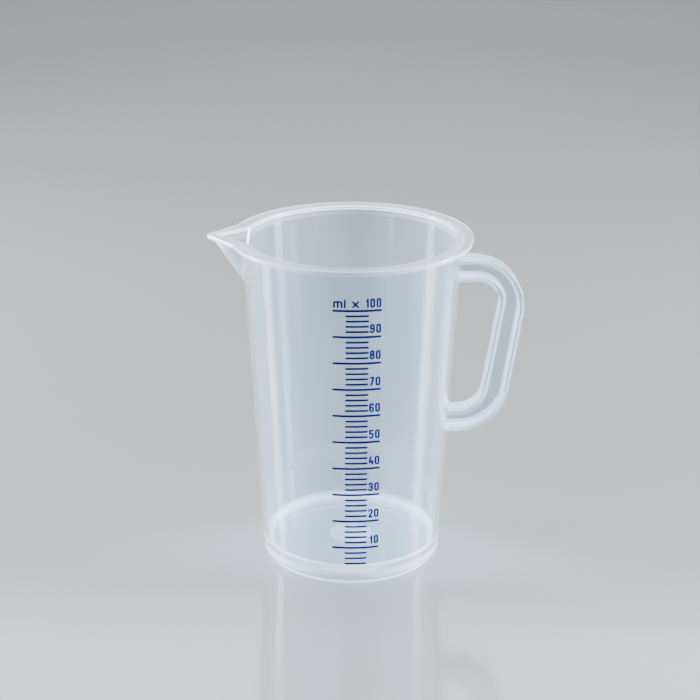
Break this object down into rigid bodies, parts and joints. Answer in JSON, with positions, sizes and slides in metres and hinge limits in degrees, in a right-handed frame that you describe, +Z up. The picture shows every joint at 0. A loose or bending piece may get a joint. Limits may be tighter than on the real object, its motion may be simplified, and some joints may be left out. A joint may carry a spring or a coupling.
{
  "type": "measuring jug",
  "caption": "Tapered plastic measuring jug with a pouring spout, a flat rim, a closed handle and a printed millilitre scale.",
  "frame": {"origin": "on the jug's axis, in the plane that it stands on", "axes": "+Z up along the axis, +X towards the handle, -X towards the spout, the scale on the -Y side"},
  "size_m": [0.0731, 0.0558, 0.0788],
  "materials": {
    "polypropylene": "natural polypropylene, moulded: milky and see-through, smooth with a soft gloss",
    "scale_ink": "opaque dark blue printing ink"
  },
  "bodies": {
    "root": {"figures_10": "scale_ink", "figures_100": "scale_ink", "figures_20": "scale_ink", "figures_30": "scale_ink", "figures_40": "scale_ink", "figures_50": "scale_ink", "figures_60": "scale_ink", "figures_70": "scale_ink", "figures_80": "scale_ink", "figures_90": "scale_ink", "foot_ring": "polypropylene", "gate_pad": "polypropylene", "handle_inner_flange": "polypropylene", "handle_outer_flange": "polypropylene", "handle_web": "polypropylene", "mark_100_ml": "scale_ink", "mark_10_ml": "scale_ink", "mark_20_ml": "scale_ink", "mark_30_ml": "scale_ink", "mark_40_ml": "scale_ink", "mark_50_ml": "scale_ink", "mark_60_ml": "scale_ink", "mark_70_ml": "scale_ink", "mark_80_ml": "scale_ink", "mark_90_ml": "scale_ink", "marks_12_to_18_ml": "scale_ink", "marks_22_to_28_ml": "scale_ink", "marks_32_to_38_ml": "scale_ink", "marks_42_to_48_ml": "scale_ink", "marks_4_to_8_ml": "scale_ink", "marks_52_to_58_ml": "scale_ink", "marks_62_to_68_ml": "scale_ink", "marks_72_to_78_ml": "scale_ink", "marks_82_to_88_ml": "scale_ink", "marks_92_to_98_ml": "scale_ink", "rim_flange": "polypropylene", "spout_channel": "polypropylene", "spout_lip": "polypropylene", "unit_cross": "scale_ink", "unit_ml": "scale_ink", "vessel_floor": "polypropylene", "vessel_wall": "polypropylene"}
  },
  "joints": []
}
